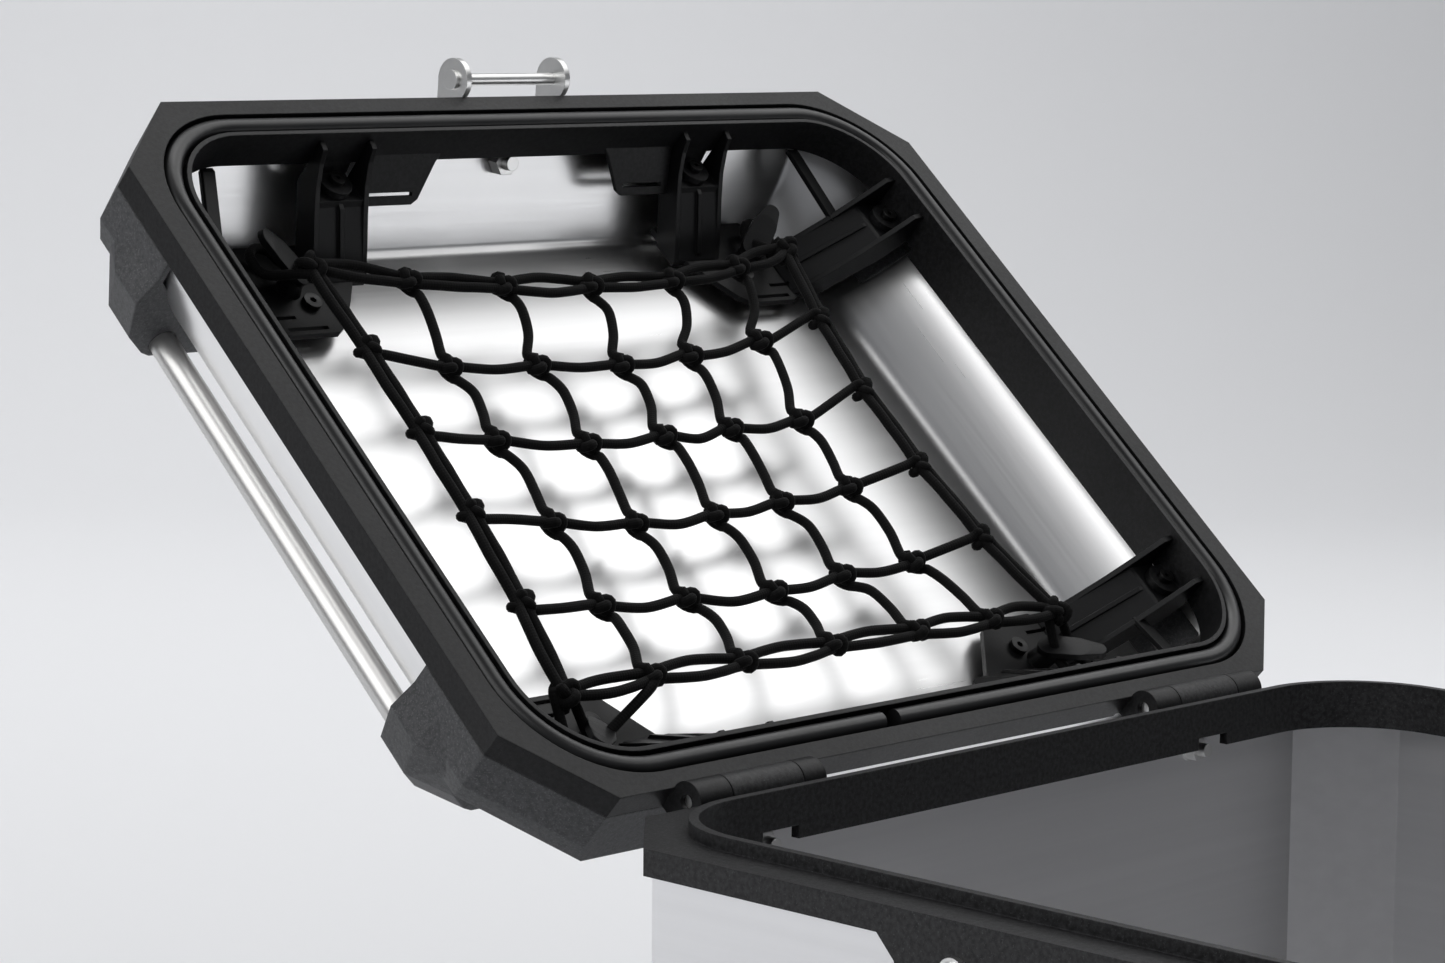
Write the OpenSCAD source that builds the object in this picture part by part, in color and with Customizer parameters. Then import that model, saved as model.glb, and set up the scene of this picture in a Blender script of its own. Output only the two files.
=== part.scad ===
// Hard motorcycle top case: folded aluminium box with a plastic mating rim,
// and a hinged aluminium lid with corner caps, side rails and an inner cargo net.
// Origin: centre of the base bolt pattern, on the surface the case stands on.
// +Z up, -Y the latch side, +Y the hinge side. The lid is drawn opened.

/* [Case] */
// Width over the plastic rim
case_w = 410; // [400:1:420]
// Depth over the plastic rim
case_d = 324.5; // [318:0.5:332]
// Leg of the 45 degree corner chamfers
corner_c = 32; // [29:1:34]
// Height of the mating plane above the ground
mate_z = 255; // [225:1:290]
// Aluminium sheet thickness
sheet_t = 1.5; // [1.2:0.1:2]

/* [Lid] */
// Height of the lid shell above the mating plane
shell_h = 56; // [52:1:60]
// Opening angle of the lid
lid_open = 137.8; // [60:0.1:140]
// Hinge axis, behind the centre of the case
hinge_y = 168.7; // [168:0.1:170]
// Diameter of the two side rails
rail_d = 10.4; // [9:0.1:11]

/* [Latch] */
// Angle between the open and the closed lever
lever_swing = 95; // [80:1:100]
// Tilt of the hook when the lever is open
hook_tilt = 20; // [12:1:25]

/* [Base] */
// Hole spacing of the base pattern, side to side
base_sx = 170; // [120:1:200]
// Hole spacing of the base pattern, front to back
base_sy = 130; // [90:1:150]
// Base hole diameter, for M6
base_hole_d = 6.6; // [6.4:0.1:7]

/* [Net] */
// Cord diameter of the cargo net
cord_d = 3.4; // [2.5:0.1:4]

/* [Hidden] */

plastic = [0.10, 0.10, 0.11];
cap_grey = [0.20, 0.20, 0.215];
alu = [0.80, 0.81, 0.82];
steel = [0.75, 0.75, 0.76];
rubber = [0.05, 0.05, 0.055];
cord = [0.03, 0.03, 0.035];

e = 0.05;                       // overshoot of cutting bodies
hw = case_w / 2;                // half width over the rim
hd = case_d / 2;                // half depth over the rim
wall_in = 3;                    // rim overhang outside the sheet wall
sw = hw - wall_in;              // half width over the sheet
sd = hd - wall_in;              // half depth over the sheet
sc = corner_c - 2;              // chamfer leg of the sheet
mate_gap = 0.4;                 // gap between lid face and rim face
guard_lean = 32;                // lean of the inner guards from the frame wall, in degrees
seam_z = 10.3;                  // height of the frame's outer wall above the mating plane
rim_h = 8.65;                   // height of the rim's outer wall
lip_r = 36;                     // corner radius of the lid opening
open_x = hw - 20.5;             // half width of the lid opening
open_y = hd - 17.95;            // half depth of the lid opening
bevel_z = 20;                   // where the shell wall turns into its bevel
top_x = sw - 35;                // half width of the flat lid top
top_y = sd - 26.25;             // half depth of the flat lid top
cap_top = shell_h + 1.9;
cap_x = 104;                    // inner end of the corner caps, side to side
cap_y = 92;                     // inner end of the corner caps, front to back
rail_x = hw - 18;
rail_z = 51;
hinge_z = mate_z + 0.2;
pin_r = 2.5;
barrel_r = 7;
run = 0.06;                     // radial running clearance
side_gap = 0.5;                 // axial gap between knuckles
// knuckles along the hinge axis: lid, box, lid for each hinge
left_hinge = [-148, -133, -99, -88];
right_hinge = [92, 106, 141, 156];
strike_y = -(hd + 9.45);        // striker pin axis
strike_z = mate_z + 0.2;
strike_r = 2.4;
// latch pivots in the y-z plane, lever closed
piv_a = [-(sd + 9), mate_z - 33];
piv_b = [-(sd + 7.1), mate_z - 43.8];
ang_b = atan2(piv_b[0] - piv_a[0], piv_b[1] - piv_a[1]);
net_z = 33;
net_cols = [-120, -82, -42, 0, 42, 82, 120];
net_rows = [-92, -57, -18, 20, 60, 97];

function rot_yz(p, c, a) = [c[0] + (p[0] - c[0]) * cos(a) - (p[1] - c[1]) * sin(a),
                            c[1] + (p[0] - c[0]) * sin(a) + (p[1] - c[1]) * cos(a)];
piv_b_open = rot_yz(piv_b, piv_a, -lever_swing);

// ---------- placing ----------
module lid_pose() {
  translate([0, hinge_y, hinge_z]) rotate([-lid_open, 0, 0])
    translate([0, -hinge_y, -hinge_z]) translate([0, 0, mate_z]) children();
}
module lever_pose() {
  translate([0, piv_a[0], piv_a[1]]) rotate([-lever_swing, 0, 0])
    translate([0, -piv_a[0], -piv_a[1]]) children();
}
module hook_pose() {
  translate([0, piv_b_open[0], piv_b_open[1]]) rotate([hook_tilt, 0, 0])
    translate([0, -piv_b[0], -piv_b[1]]) children();
}
// one quarter, mirrored into the corner named by its signs
module corner(sx, sy) { mirror([sx < 0 ? 1 : 0, 0, 0]) mirror([0, sy < 0 ? 1 : 0, 0]) children(); }
module four() { for (sx = [-1, 1], sy = [-1, 1]) corner(sx, sy) children(); }
// a cylinder along x between two x values
module x_rod(x0, x1, y, z, r) { translate([x0, y, z]) rotate([0, 90, 0]) cylinder(r = r, h = x1 - x0, $fn = 48); }
// a y-z outline swept along x
module x_slab(x0, x1, pts) {
  translate([x0, 0, 0]) rotate([90, 0, 90]) linear_extrude(x1 - x0) polygon(pts);
}

// ---------- outlines ----------
module octagon(x, y, c) {
  polygon([[x, -y + c], [x, y - c], [x - c, y], [-x + c, y], [-x, y - c], [-x, -y + c], [-x + c, -y], [x - c, -y]]);
}
module rounded(x, y, r) {
  square([2 * x, 2 * (y - r)], center = true);
  square([2 * (x - r), 2 * y], center = true);
  for (a = [-1, 1], b = [-1, 1]) translate([a * (x - r), b * (y - r)]) circle(r, $fn = 64);
}
// rounded outline that lies t outside the lid opening
module around(t) { rounded(open_x + t, open_y + t, lip_r + t); }
module ring(z0, z1, t0, t1) {
  translate([0, 0, z0]) linear_extrude(z1 - z0) difference() { around(t1); around(t0); }
}

// ---------- box ----------
module box_shell() {
  color(alu) difference() {
    translate([0, 0, 5]) linear_extrude(mate_z - 3.6 - 5) octagon(sw, sd, sc);
    translate([0, 0, 5 + sheet_t]) linear_extrude(mate_z) octagon(sw - sheet_t, sd - sheet_t, sc - 0.88);
    for (a = [-1, 1], b = [-1, 1]) translate([a * base_sx / 2, b * base_sy / 2, 4]) cylinder(d = base_hole_d, h = 4, $fn = 32);
    for (b = rim_bolt_at) translate([b[0], b[1] > 0 ? sd - 4 : -sd - 4, mate_z - 14.5])
      rotate([-90, 0, 0]) cylinder(r = 2.6, h = 8, $fn = 32);
    for (a = [-1, 1]) translate([a * sw - 4, 2, mate_z - 15]) rotate([0, 90, 0]) cylinder(r = 2.6, h = 8, $fn = 32);
    for (p = latch_screw_at) translate([p[0], -sd - 4, p[1]]) rotate([-90, 0, 0]) cylinder(r = 2.1, h = 8, $fn = 32);
    four() for (p = base_rivet_x) translate([p, sd - 4, 24]) rotate([-90, 0, 0]) cylinder(r = 2.05, h = 8, $fn = 32);
    four() for (p = base_rivet_y) translate([sw - 4, p, 24]) rotate([0, 90, 0]) cylinder(r = 2.05, h = 8, $fn = 32);
  }
}
rim_bolt_at = [[106, 1], [-126, 1], [-118, -1], [118, -1]];
latch_screw_at = [[-24, mate_z - 20], [24, mate_z - 20], [-24, mate_z - 80], [24, mate_z - 80]];
base_rivet_x = [150];
base_rivet_y = [108];

// straight knuckle on the hinge axis with its root block; up is 1 for the lid
module knuckle(x0, x1, up) {
  x_rod(x0, x1, hinge_y, hinge_z, barrel_r);
  if (up > 0) x_slab(x0, x1, [[hd - 5, mate_z + mate_gap], [hinge_y, mate_z + mate_gap],
      [hinge_y + barrel_r, hinge_z], [hinge_y + 3, mate_z + seam_z - 0.3], [hd - 5, mate_z + seam_z - 0.3]]);
  else x_slab(x0, x1, [[hd - 2.8, mate_z], [hinge_y, mate_z], [hinge_y + barrel_r, hinge_z],
      [hinge_y + 2, mate_z - 9.5], [hd + 0.2, mate_z - 22], [hd - 2.8, mate_z - 22]]);
}
module knuckle_clear(x0, x1) { x_rod(x0 - side_gap, x1 + side_gap, hinge_y, hinge_z, barrel_r + 0.6); }

module box_rim() {
  color(plastic) difference() {
    union() {
      // top land, outer wall, and the raised lip that enters the lid groove
      translate([0, 0, mate_z - 3.5]) linear_extrude(3.5) difference() { octagon(hw, hd, corner_c); around(2.4); }
      translate([0, 0, mate_z - rim_h]) linear_extrude(rim_h - 1) difference() {
        octagon(hw, hd, corner_c);
        octagon(sw + 0.1, sd + 0.1, sc + 0.06);
      }
      ring(mate_z - 13, mate_z + 4.6, 2.4, 5.7);
      // inner wall that backs the sheet
      translate([0, 0, mate_z - 10]) linear_extrude(7) difference() {
        octagon(sw - sheet_t - 0.1, sd - sheet_t - 0.1, sc - 0.9);
        octagon(sw - sheet_t - 2.6, sd - sheet_t - 2.6, sc - 2.4);
      }
      // tabs that the bolts hold to the sheet
      for (b = rim_bolt_at) rim_tab(b[0], b[1]);
      for (a = [-1, 1]) side_flare(a);
      // box knuckles
      knuckle(left_hinge[1] + side_gap, left_hinge[2], -1);
      knuckle(right_hinge[1] + side_gap, right_hinge[2], -1);
    }
    for (h = [left_hinge, right_hinge]) {
      knuckle_clear(h[0], h[1]);
      knuckle_clear(h[2] + side_gap, h[3]);
      x_rod(h[0] - 14, h[0], hinge_y, hinge_z, 5.2);
      x_rod(h[1] - e, h[2] + side_gap, hinge_y, hinge_z, pin_r);
    }
    // notches around the nuts
    for (b = rim_bolt_at) translate([b[0], b[1] * (sd - 10), mate_z - 14]) cube([17, 20, 11], center = true);
    for (a = [-1, 1]) translate([a * (sw - 10), 2, mate_z - 14]) cube([20, 17, 11], center = true);
    for (b = rim_bolt_at) translate([b[0], b[1] > 0 ? hd - 8 : -hd - 2, mate_z - 14.5])
      rotate([-90, 0, 0]) cylinder(r = 2.6, h = 10, $fn = 32);
    // counterbores through the hinge blocks for the rear bolt heads
    for (b = rim_bolt_at) if (b[1] > 0) translate([b[0], sd + 3, mate_z - 14.5])
      rotate([-90, 0, 0]) cylinder(r = 5.2, h = 14, $fn = 32);
    for (a = [-1, 1]) translate([a * hw - 8, 2, mate_z - 15]) rotate([0, 90, 0]) cylinder(r = 2.6, h = 16, $fn = 32);
  }
}
module rim_tab(x, s) {
  translate([x, s * (sd + 1.55), mate_z - 15]) cube([24, 2.9, 14], center = true);
}
// the side walls of the rim run down to carry the side eyelets
module side_flare(a) {
  translate([a > 0 ? sw + 0.1 : -sw - 3, 0, 0]) rotate([90, 0, 90]) linear_extrude(2.9)
    polygon([[-29, mate_z - rim_h], [-22, mate_z - 16], [-17, mate_z - 32], [21, mate_z - 32], [26, mate_z - 16], [33, mate_z - rim_h], [33, mate_z - 6], [-29, mate_z - 6]]);
}

module base_plate() {
  color(plastic) difference() {
    union() {
      translate([0, 0, 1.5]) linear_extrude(3.5) rounded(124, 94, 16);
      for (x = [-96, -48, 0, 48, 96]) translate([x - 3, -84, 0.4]) cube([6, 168, 1.3]);
      for (a = [-1, 1], b = [-1, 1]) translate([a * base_sx / 2, b * base_sy / 2, 0]) cylinder(r = 13, h = 5, $fn = 48);
    }
    for (a = [-1, 1], b = [-1, 1]) translate([a * base_sx / 2, b * base_sy / 2, -1]) cylinder(d = base_hole_d, h = 8, $fn = 32);
  }
}

// outer shape of a bottom corner cap, one quarter
module base_cap_body() {
  hull() {
    translate([0, 0, 14]) linear_extrude(26) polygon([[128, 92], [128, hd - 0.6], [hw - corner_c - 0.6, hd - 0.6], [hw - 0.6, hd - corner_c - 0.6], [hw - 0.6, 92]]);
    linear_extrude(1) polygon([[128, 92], [128, hd - 2], [hw - corner_c - 1.4, hd - 2], [hw - 2, hd - corner_c - 1.4], [hw - 2, 92]]);
  }
}
module base_cap() {
  color(cap_grey) difference() {
    base_cap_body();
    translate([0, 0, 4.85]) linear_extrude(80) octagon(sw + 0.1, sd + 0.1, sc + 0.06);
    for (p = base_rivet_x) translate([p, sd - 4, 24]) rotate([-90, 0, 0]) cylinder(r = 2.05, h = 10, $fn = 32);
    for (p = base_rivet_y) translate([sw - 4, p, 24]) rotate([0, 90, 0]) cylinder(r = 2.05, h = 10, $fn = 32);
  }
}
module base_cap_fl() { corner(-1, -1) base_cap(); }
module base_cap_fr() { corner(1, -1) base_cap(); }
module base_cap_rl() { corner(-1, 1) base_cap(); }
module base_cap_rr() { corner(1, 1) base_cap(); }
// a rivet along +y through a wall stack from y0 to y1
module rivet_y(y0, y1) {
  translate([0, y0, 0]) rotate([-90, 0, 0]) {
    cylinder(r = 2, h = y1 - y0, $fn = 32);
    translate([0, 0, y1 - y0]) cylinder(r1 = 4, r2 = 2.4, h = 1.2, $fn = 32);
    translate([0, 0, -1.2]) cylinder(r = 3.2, h = 1.2, $fn = 32);
  }
}
module base_cap_rivets() {
  color(steel) four() {
    for (p = base_rivet_x) translate([p, 0, 24]) rivet_y(sd - sheet_t, hd - 0.6);
    for (p = base_rivet_y) translate([0, p, 24]) rotate([0, 0, -90]) rivet_y(sw - sheet_t, hw - 0.6);
  }
}

module rim_bolts() {
  color(steel) for (b = rim_bolt_at) translate([b[0], 0, mate_z - 14.5]) mirror([0, b[1] < 0 ? 1 : 0, 0]) {
    translate([0, sd - 10.5, 0]) rotate([-90, 0, 0]) cylinder(r = 2.5, h = 13.6, $fn = 32);
    translate([0, sd + 3.05, 0]) rotate([-90, 0, 0]) cylinder(r = 4.6, h = 2.6, $fn = 32);
  }
}
module rim_nuts() {
  color(steel) {
    for (b = rim_bolt_at) translate([b[0], 0, mate_z - 14.5]) mirror([0, b[1] < 0 ? 1 : 0, 0]) nut_y();
    for (a = [-1, 1]) translate([0, 2, mate_z - 15]) rotate([0, 0, a * -90]) translate([0, sw - sd, 0]) nut_y();
  }
}
module nut_y() {
  translate([0, sd - sheet_t - 5.05, 0]) rotate([-90, 0, 0]) difference() {
    union() { cylinder(r = 4.6, h = 4, $fn = 6); translate([0, 0, 4]) cylinder(r = 5, h = 1, $fn = 32); }
    translate([0, 0, -e]) cylinder(r = 2.55, h = 6, $fn = 32);
  }
}
module side_eyelets() {
  color(steel) for (a = [-1, 1]) translate([0, 2, mate_z - 15]) rotate([0, 0, a * -90]) {
    translate([0, sw - 9, 0]) rotate([-90, 0, 0]) cylinder(r = 2.5, h = 12.1, $fn = 32);
    translate([0, sw + 3.05, 0]) rotate([-90, 0, 0]) difference() {
      union() { cylinder(r = 4.8, h = 2.4, $fn = 48); translate([0, 0, 2.4]) cylinder(r = 3.6, h = 1, $fn = 48); }
      translate([0, 0, 1.4]) cylinder(r = 2, h = 4, $fn = 6);
    }
  }
}

module hinge_pin(h) {
  color(steel) {
    x_rod(h[0] + 2, h[3] - 2, hinge_y, hinge_z, pin_r);
  }
}
module hinge_pin_left() { hinge_pin(left_hinge); }
module hinge_pin_right() { hinge_pin(right_hinge); }

// ---------- latch on the front wall ----------
module latch_base() {
  color(plastic) difference() {
    union() {
      translate([-36, -sd - 2.6, mate_z - 91]) cube([72, 2.5, 80]);
      for (a = [-1, 1]) x_slab(a > 0 ? 27.2 : -33.2, a > 0 ? 33.2 : -27.2, [
        [-sd - 2, mate_z - 88], [-sd - 2, mate_z - 14], [-sd - 9, mate_z - 20], [-sd - 15, mate_z - 30],
        [-sd - 15.5, mate_z - 40], [-sd - 12, mate_z - 80]]);
      // keeper for the lock tongue
      x_slab(-6, 6, [[-sd - 2, mate_z - 91], [-sd - 2, mate_z - 87.5], [-sd - 10.6, mate_z - 87.5],
        [-sd - 10.6, mate_z - 83], [-sd - 12.8, mate_z - 83], [-sd - 12.8, mate_z - 91]]);
    }
    for (a = [-1, 1]) x_rod(a > 0 ? 26 : -31, a > 0 ? 31 : -26, piv_a[0], piv_a[1], 2);
    for (p = latch_screw_at) translate([p[0], -sd - 6, p[1]]) rotate([-90, 0, 0]) cylinder(r = 2.1, h = 8, $fn = 32);
  }
}
module latch_screws() {
  color(steel) for (p = latch_screw_at) translate([p[0], 0, p[1]]) {
    translate([0, -sd - 4.6, 0]) rotate([-90, 0, 0]) cylinder(r = 3.1, h = 2, $fn = 32);
    translate([0, -sd - 2.6, 0]) rotate([-90, 0, 0]) cylinder(r = 2, h = 7, $fn = 32);
    translate([0, -sd + sheet_t, 0]) rotate([-90, 0, 0]) difference() {
      cylinder(r = 3.8, h = 3, $fn = 6);
      translate([0, 0, -e]) cylinder(r = 2, h = 4, $fn = 32);
    }
  }
}
module lever_pivots() {
  color(steel) for (a = [-1, 1]) x_rod(a > 0 ? 22.5 : -31, a > 0 ? 31 : -22.5, piv_a[0], piv_a[1], 2);
}
module latch_lever() {
  color(plastic) lever_pose() difference() {
    union() {
      // face plate with a notch that the hook passes through
      difference() {
        translate([-26, -sd - 20.2, mate_z - 87]) cube([52, 3.2, 56]);
        translate([-16.5, -sd - 22, mate_z - 60]) cube([33, 6, 40]);
      }
      for (a = [-1, 1]) translate([a > 0 ? 21.8 : -26, 0, 0]) hull() {
        x_rod(0, 4.2, piv_a[0], piv_a[1], 4.6);
        x_rod(0, 4.2, piv_b[0], piv_b[1], 4);
        translate([0, -sd - 20.2, mate_z - 50]) cube([4.2, 2, 19]);
      }
      for (a = [-1, 1]) translate([a > 0 ? 23.5 : -26, -sd - 18, mate_z - 87]) cube([2.5, 6, 40]);
      translate([0, -sd - 17.1, mate_z - 73]) rotate([-90, 0, 0]) cylinder(r = 10, h = 5, $fn = 48);
    }
    for (a = [-1, 1]) x_rod(a > 0 ? 21 : -27, a > 0 ? 27 : -21, piv_a[0], piv_a[1], 2 + run);
    x_rod(-24.5, 24.5, piv_b[0], piv_b[1], 1.8);
    translate([0, -sd - 21, mate_z - 73]) rotate([-90, 0, 0]) cylinder(r = 7.56, h = 20, $fn = 48);
  }
}
module hook_pin() {
  color(steel) lever_pose() x_rod(-24.5, 24.5, piv_b[0], piv_b[1], 1.8);
}
module latch_hook() {
  color(steel) hook_pose() difference() {
    union() {
      x_rod(-15, 15, piv_b[0], piv_b[1], 3.7);
      x_slab(-15, 15, [
        [piv_b[0] - 3.6, piv_b[1] - 1], [piv_b[0] + 0.5, piv_b[1] + 3.6], [strike_y - 3, mate_z - 8], [strike_y - 2.8, mate_z + 0.8],
        [strike_y - 1.9, mate_z + 2.2], [strike_y, mate_z + 3.1], [strike_y + 2.2, mate_z + 2.5], [strike_y + 3.2, mate_z + 0.4],
        [strike_y + 5.7, mate_z + 0.4], [strike_y + 5.2, mate_z + 4], [strike_y + 3.2, mate_z + 5.7], [strike_y, mate_z + 6.2],
        [strike_y - 3.4, mate_z + 5.4], [strike_y - 5.2, mate_z + 3], [strike_y - 5.7, mate_z - 0.5], [strike_y - 5.7, mate_z - 8.5]]);
    }
    x_rod(-16, 16, piv_b[0], piv_b[1], 1.8 + run);
  }
}
module lock_cylinder() {
  color(steel) lever_pose() translate([0, -sd, mate_z - 73]) difference() {
    union() {
      translate([0, -21.2, 0]) rotate([-90, 0, 0]) cylinder(r = 7.5, h = 9.1, $fn = 48);
      translate([0, -12.1, 0]) rotate([-90, 0, 0]) cylinder(r = 5, h = 4, $fn = 48);
      // tongue, turned aside
      translate([0, -10.1, 0]) translate([-2.5, 0, -2.5]) cube([14.5, 2, 5]);
    }
    translate([-0.8, -22, -4]) cube([1.6, 9, 8]);
  }
}

// ---------- lid ----------
module lid_frame() {
  color(plastic) lid_pose() difference() {
    union() {
      translate([0, 0, mate_gap]) linear_extrude(seam_z - mate_gap - 0.05) difference() { octagon(hw, hd, corner_c); around(0); }
      // ledge and wall that locate the shell
      translate([0, 0, seam_z - 0.1]) linear_extrude(2.2) difference() { octagon(sw - 1.7, sd - 1.7, sc - 1); around(0); }
      translate([0, 0, seam_z]) linear_extrude(9) difference() {
        octagon(sw - 1.7, sd - 1.7, sc - 1);
        octagon(sw - 4.2, sd - 4.2, sc - 2.4);
      }
      ring(seam_z, 16, 0, 2);
      // raised strip along the back, between the hinges
      translate([-86, sd + 0.1, seam_z - 1]) cube([176, hd - sd - 0.1, 2.4]);
      // deeper inner wall along both sides
      for (a = [-1, 1]) translate([a > 0 ? open_x : -open_x - 2, -86, seam_z]) cube([2, 172, 12.5]);
      // inclined guards at front and back, each with a slot
      for (a = [-1, 1], b = [-1, 1]) corner(a, b) guard();
      // round bosses that carry the inner brackets
      four() {
        translate([95, open_y - 5.3, 20.5]) cylinder(r = 7, h = 3, $fn = 48);
        translate([88, open_y - 5.3, 20.5]) cube([14, 5.3, 3]);
        x_slab(87, 103, [[open_y, 14], [open_y + 2, 14], [open_y + 2, 16], [open_y + 1.2, 23.5], [open_y - 1.2, 23.5], [open_y - 0.2, 16]]);
        translate([open_x - 4.5, 102, 15.8]) cylinder(r = 7, h = 3, $fn = 48);
        translate([open_x - 4.5, 95, 15.8]) cube([6.5, 14, 3]);
        translate([open_x, 86, seam_z]) cube([2, 26, 8.5]);
      }
      knuckles_lid();
    }
    ring(mate_gap - 1, 9.5, 1.8, 10.8);
    translate([0, 0, -mate_z]) for (h = [left_hinge, right_hinge]) {
      knuckle_clear(h[1] + side_gap, h[2]);
      x_rod(h[0] - 14, h[0], hinge_y, hinge_z, 5.2);
      x_rod(h[0] - 20, h[1] + 1, hinge_y, hinge_z, pin_r + run);
      x_rod(h[2] - 1, h[3] - 1.5, hinge_y, hinge_z, pin_r + run);
    }
    four() translate([95, open_y - 5.3, 15]) cylinder(r = 2.1, h = 12, $fn = 32);
    four() translate([open_x - 4.5, 102, 12]) cylinder(r = 2.1, h = 12, $fn = 32);
  }
}
// a flap that leans inwards from the frame wall, one quarter
module guard() {
  translate([0, open_y + 1.9, 13]) rotate([90 + guard_lean, 0, 0]) linear_extrude(1.8) difference() {
    polygon([[43, 0], [81, 0], [81, 20.5], [56, 20.5], [53, 18.5], [46, 4]]);
    translate([56, 15.5]) square([21.5, 1.6]);
  }
}
module knuckles_lid() {
  translate([0, 0, -mate_z]) for (h = [left_hinge, right_hinge]) {
    knuckle(h[0], h[1], 1);
    knuckle(h[2] + side_gap, h[3], 1);
  }
}

// solid inside a lid shell surface that lies t inside the outer surface
module shell_body(t, z0, ztop) {
  hull() {
    translate([0, 0, z0]) linear_extrude(bevel_z - z0) octagon(sw - t, sd - t, sc - 0.59 * t);
    translate([0, 0, ztop - 1]) linear_extrude(1) octagon(top_x - 0.4 * t, top_y - 0.3 * t, 18);
  }
}
module lid_shell() {
  color(alu) lid_pose() difference() {
    shell_body(0, seam_z + 0.05, shell_h);
    shell_body(sheet_t, seam_z - 2, shell_h - sheet_t);
    four() translate([115, 102, shell_h - 4]) cylinder(r = 2.1, h = 8, $fn = 32);
    strike_axis() translate([0, 0, -8]) cylinder(r = 3.1, h = 20, $fn = 32);
  }
}
// axis of the striker bolt, normal to the front bevel
strike_ang = atan2(shell_h - bevel_z, sd - top_y);
module strike_axis() {
  translate([0, -sd + (sd - top_y) * 0.2, bevel_z + (shell_h - bevel_z) * 0.2])
    rotate([strike_ang, 0, 0]) children();
}

module lid_seal() {
  color(rubber) lid_pose() difference() {
    ring(5.3, 9.45, 2.8, 9.8);
    translate([-20, open_y, 0]) cube([2.5, 12, 12]);
  }
}

// outer shape of a lid corner cap, one quarter
module lid_cap_body() {
  hull() {
    translate([0, 0, seam_z + 0.15]) linear_extrude(15.5)
      polygon([[cap_x, cap_y], [cap_x, hd], [hw - corner_c, hd], [hw, hd - corner_c], [hw, cap_y]]);
    translate([0, 0, 34]) linear_extrude(0.5)
      polygon([[cap_x, cap_y], [cap_x, hd], [hw - corner_c - 4, hd], [hw - 3, hd - corner_c - 2], [hw - 3, cap_y]]);
    translate([0, 0, cap_top - 0.5]) linear_extrude(0.5)
      polygon([[cap_x, cap_y + 6], [cap_x, hd - 14], [136, hd - 14], [173, hd - 50], [173, cap_y], [cap_x + 6, cap_y]]);
  }
  // socket that swallows the end of the side rail
  hull() {
    translate([0, cap_y, 0]) socket_slice(0);
    translate([0, cap_y + 15, 0]) socket_slice(0);
    translate([0, cap_y + 30, 0]) socket_slice(10);
  }
}
module socket_slice(t) {
  translate([0, 1, 0]) rotate([90, 0, 0]) linear_extrude(1) polygon([
    [160, 14.3 + t], [203.6, 14.3 + t], [208.6 - 0.6 * t, 30.4], [203.3 - t, 47.5 - 0.4 * t],
    [193.9 - t, 56 - 0.4 * t], [189.7 - t, cap_top - 0.4 * t], [160, cap_top - 0.4 * t]]);
}
module lid_cap() {
  color(cap_grey) difference() {
    lid_cap_body();
    shell_body(-0.12, seam_z - 2, shell_h + 0.12);
    translate([rail_x, cap_y - 1, rail_z]) rotate([-90, 0, 0]) cylinder(r = rail_d / 2 + run, h = 13, $fn = 48);
    translate([115, 102, shell_h - 4]) cylinder(r = 1.9, h = 5.2, $fn = 32);
  }
}
module lid_cap_fl() { lid_pose() corner(-1, -1) lid_cap(); }
module lid_cap_fr() { lid_pose() corner(1, -1) lid_cap(); }
module lid_cap_rl() { lid_pose() corner(-1, 1) lid_cap(); }
module lid_cap_rr() { lid_pose() corner(1, 1) lid_cap(); }

module rail(s) {
  color(steel) lid_pose() translate([s * rail_x, -cap_y - 11.5, rail_z]) rotate([-90, 0, 0]) difference() {
    cylinder(d = rail_d, h = 2 * (cap_y + 11.5), $fn = 48);
    translate([0, 0, -e]) cylinder(d = rail_d - 2.4, h = 2 * (cap_y + 12), $fn = 48);
  }
}
module rail_left() { rail(-1); }
module rail_right() { rail(1); }

// ---------- inner corner brackets, one quarter ----------
wall_y = open_y - 0.1;          // faces that the bracket arms lean on
wall_x = open_x - 0.2;
boss_y = open_y - 5.3;          // screw axes of the two arms
boss_x = open_x - 4.5;
// ribs and floor of an arm, as outlines of distance from the centre against height
rib_y = [[112, 47], [120, 37], [128, 27.5], [134.5, 19], [138.8, 11], [140.5, 5.5], [wall_y, 4.5], [wall_y, 24.5], [139, 31], [124, 49.5], [112, 49.5]];
floor_y = [[112, 46.5], [126, 31], [130.5, 26], [131.5, 23.6], [wall_y, 23.6], [wall_y, 25.8], [133, 25.8], [128, 33], [115, 49.5], [112, 49.5]];
rib_x = [[136, 47], [150, 35.5], [161, 25.5], [170.5, 15.5], [177, 8.5], [180, 5], [wall_x, 4], [wall_x, 19], [176, 28.5], [150, 49.5], [136, 49.5]];
floor_x = [[136, 46.5], [162, 26], [170, 19.5], [171.5, 18.9], [wall_x, 18.9], [wall_x, 21], [174, 21], [164, 28.5], [144, 49.5], [136, 49.5]];
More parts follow.
